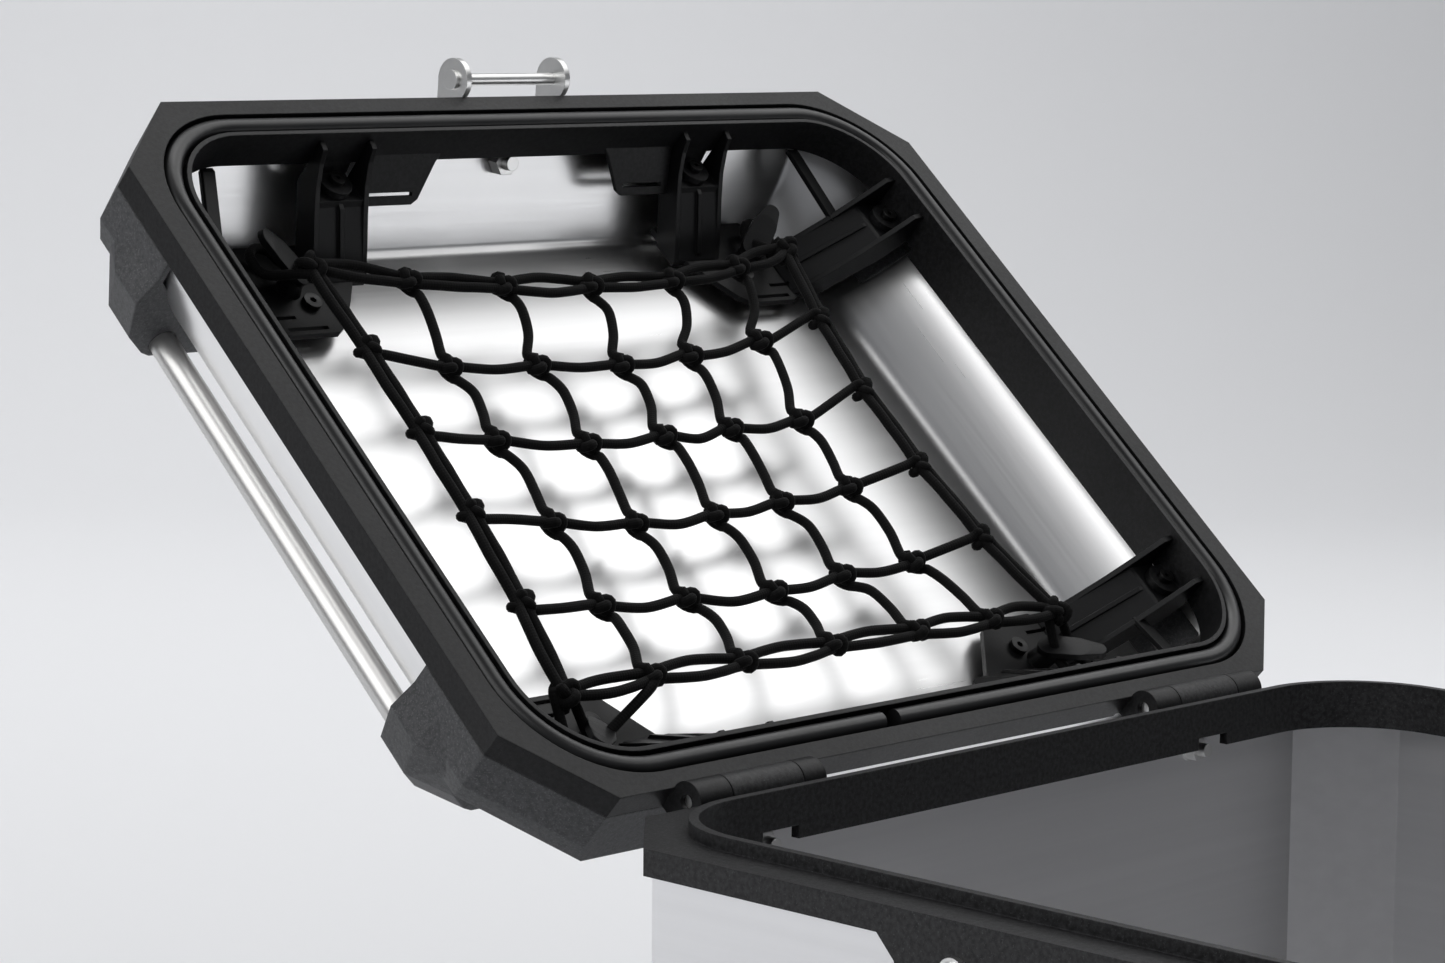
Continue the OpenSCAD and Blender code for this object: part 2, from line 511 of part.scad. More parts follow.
// an outline of x and z swept along y
module y_slab(y0, y1, pts) {
  translate([0, y1, 0]) rotate([90, 0, 0]) linear_extrude(y1 - y0) polygon(pts);
}
module bracket() {
  color(plastic) difference() {
    union() {
      // base under the flat top
      translate([0, 0, 47]) linear_extrude(2.5)
        polygon([[110, 87], [134, 87], [140, 90], [150, 96], [151, 114], [134, 132], [84, 132], [83, 121], [90, 110], [104, 91]]);
      translate([115, 102, 47]) cylinder(r = 7, h = shell_h - sheet_t - 47.05, $fn = 48);
      // channel to the front or rear wall
      x_slab(82, 84.2, rib_y);
      x_slab(105.8, 108, rib_y);
      x_slab(84, 106, floor_y);
      translate([95, boss_y, 23.6]) cylinder(r = 5.6, h = 9, $fn = 48);
      x_slab(94, 96, [[113, 47.5], [113, 43.5], [129, 25.5], [131.5, 24.5], [131.5, 30], [116, 47.5]]);
      // channel to the side wall
      y_slab(90, 92.2, rib_x);
      y_slab(111.8, 114, rib_x);
      y_slab(92, 112, floor_x);
      translate([boss_x, 102, 18.9]) cylinder(r = 5.6, h = 7, $fn = 48);
      y_slab(101, 103, [[139, 47.5], [139, 42.5], [168, 20], [171, 19.5], [171, 24], [144, 47.5]]);
      // strut across the corner
      hull() {
        translate([152, 142, 16.4]) cube([5.5, 2, 2]);
        translate([161, 111, 26]) cube([5.5, 2, 2]);
      }
      // hook for the net, a tongue that leans into the corner
      hull() {
        translate([121, 109.5, 47]) cylinder(r = 5, h = 1, $fn = 24);
        translate([122.5, 111, 37.5]) tongue_slice(4.6);
      }
      hull() {
        translate([121.5, 110, 38]) tongue_slice(5.6);
        translate([128, 116, 33.6]) tongue_slice(5.4);
        translate([133.5, 120.8, 30.4]) tongue_slice(3.6);
      }
    }
    translate([95, boss_y, 20]) cylinder(r = 1.6, h = 12, $fn = 32);
    translate([boss_x, 102, 16]) cylinder(r = 1.6, h = 9, $fn = 32);
    translate([115, 102, 44]) cylinder(r = 2.1, h = 20, $fn = 32);
    translate([114, 89, 46]) cube([19, 1.6, 5]);
    translate([126, 95, 46]) cube([19, 1.6, 5]);
  }
}
module tongue_slice(r) {
  rotate([0, 0, 42]) rotate([0, 28, 0]) cylinder(r = r, h = 2.6, center = true, $fn = 28);
}
module bracket_fl() { lid_pose() corner(-1, -1) bracket(); }
module bracket_fr() { lid_pose() corner(1, -1) bracket(); }
module bracket_rl() { lid_pose() corner(-1, 1) bracket(); }
module bracket_rr() { lid_pose() corner(1, 1) bracket(); }
// pan head screw pointing up, head face at z = 0
module screw(r, l) {
  difference() {
    union() {
      translate([0, 0, 0]) cylinder(r = r, h = l, $fn = 32);
      translate([0, 0, -2.2]) cylinder(r = 2 * r, h = 2.2, $fn = 32);
    }
    translate([0, 0, -2.3]) cylinder(r = r * 0.75, h = 1.6, $fn = 6);
  }
}
module bracket_screws() {
  color(steel * 0.35) lid_pose() four() {
    translate([95, open_y - 5.3, 20.45]) screw(1.6, 11);
    translate([open_x - 4.5, 102, 15.75]) screw(1.6, 9.8);
  }
}
module cap_screws() {
  color(steel * 0.35) lid_pose() four() translate([115, 102, 46.95]) screw(1.9, 10);
}

// ---------- striker on the front of the lid ----------
module striker() {
  u = [cos(strike_ang), sin(strike_ang)];      // up the bevel
  n = [-sin(strike_ang), cos(strike_ang)];     // out of the bevel
  y0 = -sd; z0 = bevel_z;
  color(steel) lid_pose() difference() {
    union() {
      x_slab(-27.2, 27.2, [
        [y0 - 0.15, seam_z + 0.3], [y0 - 0.15, z0], [y0 + 17 * u[0] + 0.15 * n[0], z0 + 17 * u[1] + 0.15 * n[1]],
        [y0 + 17 * u[0] + 2.6 * n[0], z0 + 17 * u[1] + 2.6 * n[1]], [y0 - 2.6, z0 + 0.8], [y0 - 2.6, seam_z + 0.3]]);
      for (a = [-1, 1]) translate([a > 0 ? 24.7 : -27.2, 0, 0]) {
        x_rod(0, 2.5, strike_y, strike_z - mate_z, 8.5);
        x_slab(0, 2.5, [
          [strike_y - 8.5, 0.2], [strike_y - 7.4, 4.5], [y0 - 7, 21], [y0 + 9 * u[0] + 3 * n[0], z0 + 9 * u[1] + 3 * n[1]],
          [y0 - 0.2, z0], [y0 - 0.2, seam_z + 0.3], [-hd - 0.5, seam_z + 0.3], [-hd - 0.5, 5], [strike_y + 8.4, 1.5]]);
      }
    }
    x_rod(-28, 28, strike_y, strike_z - mate_z, strike_r);
    strike_axis() translate([0, 0, -8]) cylinder(r = 3.1, h = 20, $fn = 32);
  }
}
module striker_pin() {
  color(steel) lid_pose() {
    x_rod(-28.2, 28.2, strike_y, strike_z - mate_z, strike_r);
    for (a = [-1, 1]) x_rod(a > 0 ? 27.25 : -28.6, a > 0 ? 28.6 : -27.25, strike_y, strike_z - mate_z, 3.9);
  }
}
module striker_bolt() {
  color(steel) lid_pose() strike_axis() {
    translate([0, 0, 2.7]) cylinder(r = 5.4, h = 3, $fn = 48);
    translate([0, 0, -10]) cylinder(r = 3, h = 13, $fn = 32);
  }
}
module striker_nut() {
  color(steel) lid_pose() strike_axis() translate([0, 0, -sheet_t - 5]) difference() {
    cylinder(r = 5.6, h = 4.9, $fn = 6);
    translate([0, 0, -e]) cylinder(r = 3.05, h = 6, $fn = 32);
  }
}

// ---------- cargo net, plain bars where the cords lie ----------
module cargo_net() {
  r = cord_d / 2;
  color(cord) lid_pose() {
    for (x = net_cols) translate([x - r, net_rows[0], net_z - r]) cube([cord_d, net_rows[5] - net_rows[0], cord_d]);
    for (y = net_rows) translate([net_cols[0], y - r, net_z - r]) cube([net_cols[6] - net_cols[0], cord_d, cord_d]);
  }
}

box_shell();
box_rim();
base_plate();
base_cap_fl();
base_cap_fr();
base_cap_rl();
base_cap_rr();
base_cap_rivets();
rim_bolts();
rim_nuts();
side_eyelets();
hinge_pin_left();
hinge_pin_right();
latch_base();
latch_screws();
lever_pivots();
latch_lever();
hook_pin();
latch_hook();
lock_cylinder();
lid_frame();
lid_shell();
lid_seal();
lid_cap_fl();
lid_cap_fr();
lid_cap_rl();
lid_cap_rr();
rail_left();
rail_right();
bracket_fl();
bracket_fr();
bracket_rl();
bracket_rr();
bracket_screws();
cap_screws();
striker();
striker_pin();
striker_bolt();
striker_nut();
cargo_net();
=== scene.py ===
import math
import random

import bmesh
import bpy
from mathutils import Matrix, Vector


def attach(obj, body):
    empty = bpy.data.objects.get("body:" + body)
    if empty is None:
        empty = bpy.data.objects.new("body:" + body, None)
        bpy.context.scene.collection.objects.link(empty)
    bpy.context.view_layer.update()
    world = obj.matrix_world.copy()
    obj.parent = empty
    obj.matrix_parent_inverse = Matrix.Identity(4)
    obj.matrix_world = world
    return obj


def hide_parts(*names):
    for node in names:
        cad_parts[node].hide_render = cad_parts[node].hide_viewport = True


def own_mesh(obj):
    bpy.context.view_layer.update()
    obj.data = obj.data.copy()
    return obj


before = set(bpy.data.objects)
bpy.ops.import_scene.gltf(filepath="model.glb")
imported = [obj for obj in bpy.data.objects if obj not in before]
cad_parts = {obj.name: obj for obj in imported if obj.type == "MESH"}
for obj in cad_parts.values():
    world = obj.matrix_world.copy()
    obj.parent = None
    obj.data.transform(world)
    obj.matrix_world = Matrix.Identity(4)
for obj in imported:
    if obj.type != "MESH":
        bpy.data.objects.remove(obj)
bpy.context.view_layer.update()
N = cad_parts
scene = bpy.context.scene

# ---------------------------------------------------------------- lid frame of reference
HINGE = Vector((0.0, 0.1687, 0.2552))
LID_ANGLE = math.radians(-137.8)
MATE = 0.255
OPENING = Matrix.Rotation(LID_ANGLE, 4, "X")
LID = Matrix.Translation(HINGE) @ OPENING @ Matrix.Translation(Vector((0, 0, MATE)) - HINGE)


def lid_point(x, y, z):
    """A point given in millimetres on the closed lid, z up from the mating plane."""
    return LID @ Vector((x / 1000, y / 1000, z / 1000))


# ---------------------------------------------------------------- camera
AZ, EL, ROLL = math.radians(-45.5), math.radians(7.256), math.radians(0.496)
back = Vector((math.sin(AZ) * math.cos(EL), -math.cos(AZ) * math.cos(EL), math.sin(EL)))
right = Vector((math.cos(AZ), math.sin(AZ), 0))
up = back.cross(right)
cam_x = right * math.cos(ROLL) + up * math.sin(ROLL)
cam_y = up * math.cos(ROLL) - right * math.sin(ROLL)
cam_data = bpy.data.cameras.new("camera")
cam = bpy.data.objects.new("camera", cam_data)
scene.collection.objects.link(cam)
rot = Matrix((cam_x, cam_y, back)).transposed().to_4x4()
cam.matrix_world = Matrix.Translation((-1.0015, -0.6854, 0.5147)) @ rot
cam_data.sensor_fit = "HORIZONTAL"
cam_data.sensor_width = 36
cam_data.lens = 93.79
cam_data.clip_start, cam_data.clip_end = 0.05, 60
scene.camera = cam
scene.view_settings.view_transform = "Standard"


# ---------------------------------------------------------------- materials
class Nodes:
    """A short way to build a node material."""

    def __init__(self, name):
        self.mat = bpy.data.materials.new(name)
        self.mat.use_nodes = True
        self.t = self.mat.node_tree
        self.b = self.t.nodes["Principled BSDF"]

    def add(self, kind, **values):
        n = self.t.nodes.new("ShaderNode" + kind)
        for k, v in values.items():
            if hasattr(n, k):
                setattr(n, k, v)
            else:
                n.inputs[k.replace("_", " ")].default_value = v
        return n

    def link(self, a, b):
        self.t.links.new(a, b)

    def coords(self, sx=1.0, sy=1.0, sz=1.0, turn=0.0):
        """Object coordinates, turned about the hinge's direction and then stretched."""
        c = self.add("TexCoord")
        t = self.add("Mapping")
        t.inputs["Rotation"].default_value = (turn, 0, 0)
        m = self.add("Mapping")
        m.inputs["Scale"].default_value = (sx, sy, sz)
        self.link(c.outputs["Object"], t.inputs["Vector"])
        self.link(t.outputs["Vector"], m.inputs["Vector"])
        return m.outputs["Vector"]

    def rounded(self, radius):
        """Normal that softens the edges of the mesh."""
        n = self.add("Bevel")
        n.samples = 4
        n.inputs["Radius"].default_value = radius
        return n.outputs["Normal"]

    def noise(self, vec, scale, detail=3.0, rough=0.5):
        n = self.add("TexNoise")
        n.inputs["Scale"].default_value = scale
        n.inputs["Detail"].default_value = detail
        n.inputs["Roughness"].default_value = rough
        self.link(vec, n.inputs["Vector"])
        return n.outputs["Fac"]

    def ramp(self, fac, stops):
        r = self.add("ValToRGB")
        cr = r.color_ramp
        while len(cr.elements) < len(stops):
            cr.elements.new(0.5)
        for el, (p, c) in zip(cr.elements, stops):
            el.position = p
            el.color = (*c, 1) if len(c) == 3 else c
        self.link(fac, r.inputs["Fac"])
        return r.outputs["Color"]

    def math(self, op, a, b=None, c=None):
        n = self.add("Math")
        n.operation = op
        for i, v in enumerate((a, b, c)):
            if v is None:
                continue
            if isinstance(v, (int, float)):
                n.inputs[i].default_value = v
            else:
                self.link(v, n.inputs[i])
        return n.outputs[0]

    def remap(self, fac, lo, hi, to_lo, to_hi):
        n = self.add("MapRange")
        n.inputs["From Min"].default_value = lo
        n.inputs["From Max"].default_value = hi
        n.inputs["To Min"].default_value = to_lo
        n.inputs["To Max"].default_value = to_hi
        self.link(fac, n.inputs["Value"])
        return n.outputs["Result"]

    def mix(self, fac, a, b):
        n = self.add("Mix")
        n.data_type = "RGBA"
        if isinstance(fac, (int, float)):
            n.inputs[0].default_value = fac
        else:
            self.link(fac, n.inputs[0])
        for i, v in ((6, a), (7, b)):
            if isinstance(v, tuple):
                n.inputs[i].default_value = (*v, 1)
            else:
                self.link(v, n.inputs[i])
        return n.outputs[2]

    def blend(self, fac, a, b):
        """Number a where fac is 0, number b where it is 1."""
        rest = self.math("SUBTRACT", 1.0, fac)
        return self.math("ADD", self.math("MULTIPLY", b, fac), self.math("MULTIPLY", a, rest))

    def bump(self, height, strength, distance, after=None):
        n = self.add("Bump")
        n.inputs["Strength"].default_value = strength
        n.inputs["Distance"].default_value = distance
        self.link(height, n.inputs["Height"])
        if after is not None:
            self.link(after, n.inputs["Normal"])
        return n.outputs["Normal"]

    def set(self, **values):
        for k, v in values.items():
            s = self.b.inputs[k.replace("_", " ")]
            if isinstance(v, (int, float)):
                s.default_value = v
            elif isinstance(v, tuple):
                s.default_value = (*v, 1) if len(v) == 3 else v
            else:
                self.link(v, s)


def grained_plastic(name, dark, light, rough, grain=1500.0, bump=0.35, depth=0.00015,
                    edge=0.0006, specks=0.66, level=0.35):
    """Black glass-filled plastic: fine grain, paler fibre specks, slightly uneven sheen."""
    m = Nodes(name)
    v = m.coords()
    fine = m.noise(v, grain, 3.0, 0.65)
    pits = m.noise(v, grain * 0.4, 2.0, 0.5)
    broad = m.noise(v, 14.0, 2.0, 0.5)
    speck = m.ramp(fine, [(0.0, (0, 0, 0)), (specks - 0.08, (0, 0, 0)), (specks + 0.06, (1, 1, 1))])
    body = m.mix(m.remap(pits, 0.35, 0.65, 0, 0.35), dark, light)
    m.set(Base_Color=m.mix(speck, body, light))
    sheen = m.remap(broad, 0.3, 0.7, -0.03, 0.04)
    m.set(Roughness=m.math("ADD", m.remap(fine, 0.3, 0.7, rough - 0.07, rough + 0.07), sheen))
    h = m.math("ADD", m.math("MULTIPLY", fine, 0.8), m.math("MULTIPLY", pits, 0.5))
    m.set(Normal=m.bump(h, bump, depth, m.rounded(edge)))
    m.b.inputs["Specular IOR Level"].default_value = level
    return m.mat


def brushed(name, base, rough, axis, streak=900.0, bump=0.12, tint=0.04, turn=0.0, edge=0.0004, wrap=False):
    """Metal with fine parallel brush marks along one axis."""
    m = Nodes(name)
    s = {"X": (0.012, 1, 1), "Y": (1, 0.012, 1)}[axis]
    v = m.coords(*s, turn=turn)
    fine = m.noise(v, streak, 3.0, 0.6)
    mid = m.noise(v, streak * 0.18, 3.0, 0.55)
    if wrap:
        # on walls that face sideways the marks run the other way
        w = m.coords(1, 0.012, 1, turn=turn)
        facing = m.add("SeparateXYZ")
        m.link(m.add("TexCoord").outputs["Normal"], facing.inputs["Vector"])
        side = m.remap(m.math("ABSOLUTE", facing.outputs["X"]), 0.3, 0.5, 0, 1)
        fine = m.blend(side, fine, m.noise(w, streak, 3.0, 0.6))
        mid = m.blend(side, mid, m.noise(w, streak * 0.18, 3.0, 0.55))
    broad = m.noise(m.coords(turn=turn), 9.0, 3.0, 0.5)
    lo = tuple(max(0.0, c - tint) for c in base)
    hi = tuple(min(1.0, c + tint) for c in base)
    col = m.mix(m.remap(mid, 0.3, 0.7, 0, 1), lo, hi)
    m.set(Base_Color=col, Metallic=1.0)
    sheen = m.remap(broad, 0.3, 0.7, -0.015, 0.02)
    m.set(Roughness=m.math("ADD", m.remap(fine, 0.3, 0.7, rough - 0.02, rough + 0.02), sheen))
    height = m.math("ADD", fine, m.math("MULTIPLY", mid, 0.5))
    m.set(Normal=m.bump(height, bump, 0.00004, m.rounded(edge) if edge else None))
    return m.mat


def satin_rubber(name):
    m = Nodes(name)
    v = m.coords()
    f = m.noise(v, 1400.0, 3.0, 0.6)
    b = m.noise(v, 30.0, 2.0, 0.5)
    m.set(Base_Color=m.ramp(b, [(0.3, (0.005, 0.005, 0.0055)), (0.7, (0.009, 0.009, 0.0095))]))
    m.set(Roughness=m.math("ADD", m.remap(f, 0.3, 0.7, 0.30, 0.40), m.remap(b, 0.3, 0.7, -0.03, 0.05)))
    m.set(Normal=m.bump(f, 0.12, 0.00005))
    m.b.inputs["Specular IOR Level"].default_value = 0.55
    return m.mat


def braid(name):
    """Woven sheath of the elastic cord; UV u runs round the cord, v along it, both in cord girths."""
    m = Nodes(name)
    tc = m.add("TexCoord")
    sep = m.add("SeparateXYZ")
    m.link(tc.outputs["UV"], sep.inputs["Vector"])
    u, v = sep.outputs["X"], sep.outputs["Y"]
    two = 2 * math.pi
    around, along = m.math("MULTIPLY", u, 7.0), m.math("MULTIPLY", v, 5.0)
    a = m.math("SINE", m.math("MULTIPLY", m.math("ADD", around, along), two))
    b = m.math("SINE", m.math("MULTIPLY", m.math("SUBTRACT", around, along), two))
    weave = m.math("MULTIPLY", m.math("MULTIPLY", a, b), 0.5)
    fuzz = m.noise(m.coords(), 2400.0, 4.0, 0.7)
    broad = m.noise(m.coords(), 60.0, 2.0, 0.5)
    h = m.math("ADD", weave, m.math("MULTIPLY", fuzz, 0.9))
    shade = m.math("ADD", m.math("MULTIPLY", weave, 0.35), m.math("MULTIPLY", fuzz, 0.6))
    shade = m.math("ADD", shade, m.math("MULTIPLY", broad, 0.25))
    col = m.ramp(shade, [(0.15, (0.0012, 0.0012, 0.0012)), (0.6, (0.004, 0.0038, 0.004)),
                         (0.95, (0.015, 0.0145, 0.015))])
    m.set(Base_Color=col, Roughness=m.remap(fuzz, 0.3, 0.7, 0.72, 0.92))
    m.set(Normal=m.bump(h, 0.5, 0.00025))
    m.b.inputs["Sheen Weight"].default_value = 0.05
    m.b.inputs["Sheen Roughness"].default_value = 0.4
    m.b.inputs["Specular IOR Level"].default_value = 0.18
    return m.mat


LID_TURN = -LID_ANGLE
BLACK = grained_plastic("black_glass_filled_plastic", (0.0055, 0.0055, 0.006), (0.055, 0.055, 0.058), 0.5)
# the lid frame is the same black plastic as the rim, made darker: painted shade for its faces and skirt,
# which turn down and away from the lamps
FRAME_PAINTED_SHADE = grained_plastic("black_plastic_frame_painted_shade", (0.002, 0.002, 0.0022), (0.022, 0.022, 0.024), 0.46,
                        level=0.28)
INNER = grained_plastic("black_moulded_plastic", (0.0022, 0.0022, 0.0026), (0.006, 0.006, 0.007), 0.44,
                        grain=1900.0, bump=0.2, depth=0.0001, edge=0.0005, specks=0.7, level=0.3)
CAP = grained_plastic("grey_cap_plastic", (0.040, 0.041, 0.043), (0.115, 0.115, 0.12), 0.52,
                      bump=0.3, edge=0.0016, specks=0.62)
ALU_LID = brushed("brushed_aluminium_lid", (0.88, 0.88, 0.88), 0.30, "X",
                  bump=0.01, tint=0.015, turn=LID_TURN, edge=0, wrap=True)
ALU_BOX = brushed("brushed_aluminium_case", (0.84, 0.84, 0.85), 0.34, "X", bump=0.03, tint=0.02, wrap=True)
STEEL = brushed("satin_stainless", (0.78, 0.78, 0.77), 0.30, "X", streak=1200.0, bump=0.03, tint=0.02)
TUBE = brushed("ground_stainless_tube", (0.60, 0.595, 0.585), 0.36, "Y",
               streak=1400.0, bump=0.04, tint=0.02, turn=LID_TURN, edge=0)
SCREW = brushed("black_oxide_screw", (0.05, 0.05, 0.05), 0.35, "X", streak=1500.0, bump=0.1, tint=0.02)
RUBBER = satin_rubber("satin_seal_rubber")
CORD_MAT = braid("woven_elastic_cord")


FINISH = {
    FRAME_PAINTED_SHADE: ("lid_frame",),
    BLACK: ("box_rim", "latch_base", "latch_lever"),
    INNER: ("bracket_fl", "bracket_fr", "bracket_rl", "bracket_rr", "base_plate"),
    CAP: ("lid_cap_fl", "lid_cap_fr", "lid_cap_rl", "lid_cap_rr",
          "base_cap_fl", "base_cap_fr", "base_cap_rl", "base_cap_rr"),
    ALU_LID: ("lid_shell",),
    ALU_BOX: ("box_shell",),
    TUBE: ("rail_left", "rail_right"),
    SCREW: ("bracket_screws", "cap_screws"),
    RUBBER: ("lid_seal",),
    CORD_MAT: ("cargo_net",),
    STEEL: ("striker", "striker_pin", "striker_bolt", "striker_nut", "rim_bolts", "rim_nuts",
            "side_eyelets", "base_cap_rivets", "hinge_pin_left", "hinge_pin_right", "latch_screws",
            "lever_pivots", "hook_pin", "latch_hook", "lock_cylinder"),
}
for mat, names in FINISH.items():
    for n in names:
        N[n].data.materials.clear()
        N[n].data.materials.append(mat)


# ---------------------------------------------------------------- mesh helpers
def new_object(name, bm, mat, body, angle=None):
    bmesh.ops.recalc_face_normals(bm, faces=bm.faces)
    me = bpy.data.meshes.new(name)
    bm.to_mesh(me)
    bm.free()
    o = bpy.data.objects.new(name, me)
    scene.collection.objects.link(o)
    me.materials.append(mat)
    me.shade_smooth()
    if angle is not None:
        me.set_sharp_from_angle(angle=math.radians(angle))
    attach(o, body)
    return o


def smooth_path(points, step):
    """Catmull-Rom curve through the points, about one sample each step."""
    p = [Vector(q) for q in points]
    p = [2 * p[0] - p[1]] + p + [2 * p[-1] - p[-2]]
    out = []
    for i in range(1, len(p) - 2):
        a, b, c, d = p[i - 1: i + 3]
        n = max(2, int((c - b).length / step + 0.5))
        for k in range(n):
            t = k / n
            square, cube = 2 * a - 5 * b + 4 * c - d, 3 * b - a - 3 * c + d
            out.append(0.5 * (2 * b + (c - a) * t + square * t * t + cube * t ** 3))
    out.append(p[-2])
    return out


def tube(bm, uv, path, radius, sides=10):
    """A capped round tube along the path; u goes once round, v counts girths along it."""
    rings, dist = [], 0.0
    tangent = (path[1] - path[0]).normalized()
    normal = tangent.orthogonal().normalized()
    for i, p in enumerate(path):
        new_t = (path[min(i + 1, len(path) - 1)] - path[max(i - 1, 0)]).normalized()
        normal = (normal - new_t * normal.dot(new_t)).normalized()
        side = new_t.cross(normal)
        if i:
            dist += (p - path[i - 1]).length
        ring = [bm.verts.new(p + radius * (math.cos(a) * normal + math.sin(a) * side))
                for a in (2 * math.pi * k / sides for k in range(sides))]
        rings.append((ring, dist / (2 * math.pi * radius)))
    for (ra, va), (rb, vb) in zip(rings, rings[1:]):
        for k in range(sides):
            f = bm.faces.new((ra[k], ra[(k + 1) % sides], rb[(k + 1) % sides], rb[k]))
            for loop, (u, v) in zip(f.loops, ((k, va), (k + 1, va), (k + 1, vb), (k, vb))):
                loop[uv].uv = (u / sides, v)
    bm.faces.new(list(reversed(rings[0][0])))
    bm.faces.new(rings[-1][0])


def rounded_rect(hx, hy, r, n=14):
    """Corner-rounded rectangle outline, counter-clockwise from the +x side."""
    pts = []
    for sx, sy, a0 in ((1, 1, 0), (-1, 1, 90), (-1, -1, 180), (1, -1, 270)):
        for k in range(n + 1):
            a = math.radians(a0 + 90 * k / n)
            pts.append((sx * (hx - r) + r * math.cos(a), sy * (hy - r) + r * math.sin(a)))
    return pts


# ---------------------------------------------------- lid seal: a soft tube standing proud of its groove
OPEN_X, OPEN_Y, LIP_R = 184.5, 144.3, 36.0
SEAL_MID, SEAL_R, SEAL_FLOOR = 6.3, 3.7, 9.45
JOINT = (-37.0, -29.8)


def seal_profile():
    """Outline across the seal: (out from the lid opening, above the mating plane), in mm."""
    centre = SEAL_R - 0.4
    pts = []
    for k in range(15):
        a = math.radians(-245 + 310 * k / 14)
        pts.append((SEAL_MID + SEAL_R * math.cos(a), centre + SEAL_R * math.sin(a)))
    return pts + [(SEAL_MID + 3.1, SEAL_FLOOR), (SEAL_MID - 3.1, SEAL_FLOOR)]


def make_seal():
    bm = bmesh.new()
    loops = []
    for t, z in seal_profile():
        ring = rounded_rect(OPEN_X + t, OPEN_Y + t, LIP_R + t)
        first = len(ring) // 4
        # the loop starts and ends at the open joint in the long rear side
        path = [(JOINT[0], OPEN_Y + t)] + ring[first:] + ring[:first] + [(JOINT[1], OPEN_Y + t)]
        loops.append([lid_point(x, y, z) for x, y in path])
    rows = [[bm.verts.new(p) for p in loop] for loop in loops]
    n, m = len(rows[0]), len(rows)
    for k in range(m):
        for j in range(n - 1):
            bm.faces.new((rows[k][j], rows[k][j + 1], rows[(k + 1) % m][j + 1], rows[(k + 1) % m][j]))
    for end in (0, -1):
        bm.faces.new([row[end] for row in rows])
    o = new_object("lid_seal_tube", bm, RUBBER, "lid", 40)
    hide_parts("lid_seal")
    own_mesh(o)


# ---------------------------------------------------------------- lid skin: folded sheet with rounded folds
SHELL = dict(sw=202.0, sd=159.25, sc=30.0, top_x=167.0, top_y=133.0, top_c=18.0,
             z0=10.35, fold=20.0, top=56.0, sheet=1.5)


def octagon(x, y, c, r, n=4):
    """Octagon outline with each corner rounded to radius r."""
    raw = [(x, -y + c), (x, y - c), (x - c, y), (-x + c, y),
           (-x, y - c), (-x, -y + c), (-x + c, -y), (x - c, -y)]
    pts = []
    for i, p in enumerate(raw):
        a, b, d = Vector(raw[i - 1]), Vector(p), Vector(raw[(i + 1) % 8])
        cut = r * math.tan(math.radians(22.5))
        s, e = b + (a - b).normalized() * cut, b + (d - b).normalized() * cut
        pts += [s * (1 - t) ** 2 + b * 2 * t * (1 - t) + e * t * t for t in (k / n for k in range(n + 1))]
    return pts


def bezier(a, b, c, n):
    """Points of a bend from a to c that leaves and arrives along the lines to b."""
    return [tuple((1 - q) ** 2 * a[i] + 2 * q * (1 - q) * b[i] + q * q * c[i] for i in (0, 1))
            for q in (k / n for k in range(n + 1))]


def shell_levels():
    """Levels from the sheet's edge to its top: height, share of the way in at the sides, at front and back.

    The side walls roll into their bevel in one wide bend; the front and back fold more sharply.
    """
    g = SHELL
    rise = g["top"] - g["fold"]
    side = [(0.0, g["z0"])] + bezier((0.0, 11.0), (0.0, 29.5), (0.90, g["top"] - 3.3), 18)
    side += bezier((0.90, g["top"] - 3.3), (1.03, g["top"]), (1.16, g["top"]), 8)[1:]
    levels = []
    for share, z in side:
        end = min(1.0, max(0.0, (z - g["fold"]) / rise))
        if share > 1.0:
            end = share
        elif abs(z - g["fold"]) < 4:
            end = (z - g["fold"] + 4) ** 2 / 16 / rise
        levels.append((z, share, end))
    return levels


def make_lid_skin():
    g = SHELL
    bm = bmesh.new()
    skins = []
    for t in (0.0, g["sheet"]):
        rows = []
        for z, share, end in shell_levels():
            flat = min(1.0, share)
            x = g["sw"] + (g["top_x"] - g["sw"]) * share - t * (1 - 0.6 * flat)
            y = g["sd"] + (g["top_y"] - g["sd"]) * end - t * (1 - 0.6 * min(1.0, end))
            c = g["sc"] + (g["top_c"] - g["sc"]) * flat - 0.59 * t * (1 - flat)
            drop = t * min(1.0, 0.62 * flat ** 0.5 + 0.38 * flat)
            rows.append([bm.verts.new(lid_point(p.x, p.y, z - drop)) for p in octagon(x, y, c, 7.0 - t)])
        n = len(rows[0])
        for ra, rb in zip(rows, rows[1:]):
            for j in range(n):
                bm.faces.new((ra[j], ra[(j + 1) % n], rb[(j + 1) % n], rb[j]))
        bm.faces.new(rows[-1])
        skins.append(rows[0])
    n = len(skins[0])
    for j in range(n):
        bm.faces.new((skins[0][j], skins[0][(j + 1) % n], skins[1][(j + 1) % n], skins[1][j]))
    o = new_object("lid_skin", bm, ALU_LID, "lid", 35)
    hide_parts("lid_shell")


# ---------------------------------------------------------------- cargo net: knotted elastic cords
CORD = 1.95
COLS, ROWS = 7, 6
rng = random.Random(7)


def net_point(u, v):
    """Where the net lies, u from -1 to 1 along the rows and v along the columns; it sags into the lid.

    The coefficients of x and y come from a least-squares fit to the places of the knots.
    """
    x = 119.7 * u + 3 * u * v + 17.8 * u * v * v - 2.8 * u ** 3 - 3.3 * v
    x += 5 * v * v - 1.2 - 7 * u * u - 7.5 * u ** 3 * v * v
    y = 98.9 * v + 1.3 * v * u * u - 6.2 * v ** 3 + 1.3 * u - 5.3 * u * u
    y += 4.6 + 0.6 * v * v - 0.9 * u * v + 6.8 * v ** 3 * u * u
    z = 28 + 11 * (1 - u ** 4) * (1 - v ** 4) + 2.5 * (1 - u * u) * v ** 4
    return Vector((x, y, z))


